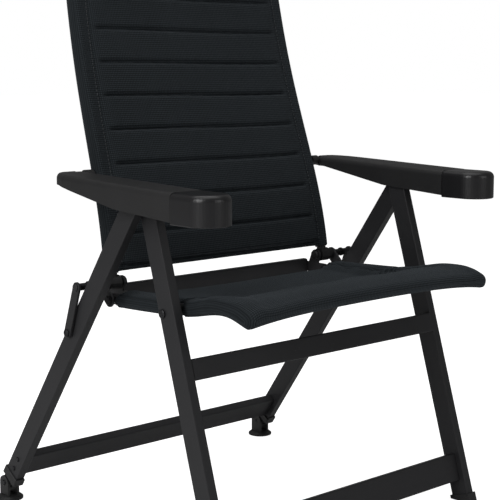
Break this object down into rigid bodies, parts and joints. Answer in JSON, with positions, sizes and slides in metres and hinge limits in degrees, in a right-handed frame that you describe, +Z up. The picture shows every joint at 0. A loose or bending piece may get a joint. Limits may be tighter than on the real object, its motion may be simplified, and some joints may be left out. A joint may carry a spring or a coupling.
{
  "type": "folding camp chair",
  "caption": "High-backed folding camp chair with a padded sling seat, padded reclining back, armrests on flat-tube legs, and tilting rear feet.",
  "frame": {"origin": "on the floor, under the middle of the open chair's bounding box", "axes": "+Z up; the sitter faces -Y; +X is the sitter's left"},
  "size_m": [0.6676, 0.6214, 1.1728],
  "materials": {
    "frame_coat": "satin powder coat, dark charcoal",
    "dark_steel": "black coated steel fasteners",
    "matte_plastic": "matte moulded",
    "cap_plastic": "smooth semi-gloss moulded",
    "fabric": "padded 3D mesh weave"
  },
  "bodies": {
    "front_frame": {"front_leg_left": "frame_coat", "front_leg_right": "frame_coat", "upper_front_crossbar": "frame_coat", "lower_front_crossbar": "frame_coat", "front_foot_left": "matte_plastic", "front_foot_right": "matte_plastic", "apex_catch_pin_left": "dark_steel", "apex_catch_pin_right": "dark_steel", "apex_washer_left": "matte_plastic", "apex_washer_right": "matte_plastic", "seat_pivot_bolt_left": "dark_steel", "seat_pivot_bolt_right": "dark_steel", "seat_pivot_bush_left": "matte_plastic", "seat_pivot_bush_right": "matte_plastic"},
    "rear_frame": {"rear_leg_left": "frame_coat", "rear_leg_right": "frame_coat", "rear_crossbar": "frame_coat", "crossbar_rivet_upper_left": "dark_steel", "crossbar_rivet_upper_right": "dark_steel", "crossbar_rivet_lower_left": "dark_steel", "crossbar_rivet_lower_right": "dark_steel", "rear_foot_socket_left": "matte_plastic", "rear_foot_socket_right": "matte_plastic", "link_bolt_left": "dark_steel", "link_bolt_right": "dark_steel"},
    "seat": {"seat_frame_tube": "frame_coat", "seat_pad": "fabric", "seat_rear_crossbar": "frame_coat", "hinge_plate_inner_left": "frame_coat", "hinge_plate_inner_right": "frame_coat", "hinge_plate_outer_left": "frame_coat", "hinge_plate_outer_right": "frame_coat", "hinge_rod_left": "dark_steel", "hinge_rod_right": "dark_steel", "rail_bolt_left": "dark_steel", "rail_bolt_right": "dark_steel"},
    "back_knuckle": {"hinge_collar_left": "matte_plastic", "hinge_collar_right": "matte_plastic"},
    "back": {"back_frame_tube": "frame_coat", "back_pad": "fabric", "back_tube_eye_left": "matte_plastic", "back_tube_eye_right": "matte_plastic", "arm_spacer_left": "matte_plastic", "arm_spacer_right": "matte_plastic"},
    "link_left": {"folding_link_left": "frame_coat"},
    "arm_pin_left": {"arm_pivot_bolt_left": "dark_steel"},
    "armrest_left": {"armrest_shell_left": "matte_plastic", "armrest_cap_left": "cap_plastic", "armrest_rack_left": "matte_plastic"},
    "foot_left": {"rear_foot_pad_left": "matte_plastic", "foot_pivot_pin_left": "dark_steel"},
    "link_right": {"folding_link_right": "frame_coat"},
    "arm_pin_right": {"arm_pivot_bolt_right": "dark_steel"},
    "armrest_right": {"armrest_shell_right": "matte_plastic", "armrest_cap_right": "cap_plastic", "armrest_rack_right": "matte_plastic"},
    "foot_right": {"rear_foot_pad_right": "matte_plastic", "foot_pivot_pin_right": "dark_steel"}
  },
  "joints": [
    {"name": "fold", "type": "hinge", "parent": "front_frame", "child": "seat", "pos_m": [0, -0.1335, 0.3875], "axis": [-1, 0, 0], "range_deg": [0, 95]},
    {"name": "rear_leg_swing", "type": "hinge", "parent": "front_frame", "child": "rear_frame", "pos_m": [0, -0.0915, 0.56], "axis": [-1, 0, 0], "range_deg": [0, 50]},
    {"name": "back_level", "type": "hinge", "parent": "seat", "child": "back_knuckle", "pos_m": [0, 0.05325, 0.407], "axis": [-1, 0, 0], "range_deg": [-97.5, 0]},
    {"name": "recline", "type": "hinge", "parent": "back_knuckle", "child": "back", "pos_m": [0, 0.05325, 0.407], "axis": [-1, 0, 0], "range_deg": [0, 40]},
    {"name": "link_left_pivot", "type": "hinge", "parent": "rear_frame", "child": "link_left", "pos_m": [0.3129, 0.08025, 0.3295], "axis": [-1, 0, 0], "range_deg": [0, 137.5]},
    {"name": "arm_pin_left_turn", "type": "hinge", "parent": "back", "child": "arm_pin_left", "pos_m": [0.26, 0.09525, 0.5795], "axis": [-1, 0, 0], "range_deg": [0, 97.5]},
    {"name": "armrest_left_tilt", "type": "hinge", "parent": "arm_pin_left", "child": "armrest_left", "pos_m": [0.29, 0.09525, 0.5795], "axis": [-1, 0, 0], "range_deg": [-26.5, 0]},
    {"name": "foot_left_tilt", "type": "hinge", "parent": "rear_frame", "child": "foot_left", "pos_m": [0.301, 0.28829, 0.03001], "axis": [-1, 0, 0], "range_deg": [-15, 15]},
    {"name": "link_right_pivot", "type": "hinge", "parent": "rear_frame", "child": "link_right", "pos_m": [-0.3129, 0.08025, 0.3295], "axis": [-1, 0, 0], "range_deg": [0, 137.5]},
    {"name": "arm_pin_right_turn", "type": "hinge", "parent": "back", "child": "arm_pin_right", "pos_m": [-0.26, 0.09525, 0.5795], "axis": [-1, 0, 0], "range_deg": [0, 97.5]},
    {"name": "armrest_right_tilt", "type": "hinge", "parent": "arm_pin_right", "child": "armrest_right", "pos_m": [-0.29, 0.09525, 0.5795], "axis": [-1, 0, 0], "range_deg": [-26.5, 0]},
    {"name": "foot_right_tilt", "type": "hinge", "parent": "rear_frame", "child": "foot_right", "pos_m": [-0.301, 0.28829, 0.03001], "axis": [-1, 0, 0], "range_deg": [-15, 15]}
  ],
  "couplings": [
    {"joint": "rear_leg_swing", "follows": "fold", "ratio": 0.5107},
    {"joint": "back_level", "follows": "fold", "ratio": -1},
    {"joint": "link_left_pivot", "follows": "fold", "ratio": 1.4096},
    {"joint": "arm_pin_left_turn", "follows": "fold", "ratio": 1},
    {"joint": "armrest_left_tilt", "follows": "recline", "ratio": -0.6512},
    {"joint": "link_right_pivot", "follows": "fold", "ratio": 1.4096},
    {"joint": "arm_pin_right_turn", "follows": "fold", "ratio": 1},
    {"joint": "armrest_right_tilt", "follows": "recline", "ratio": -0.6512}
  ]
}
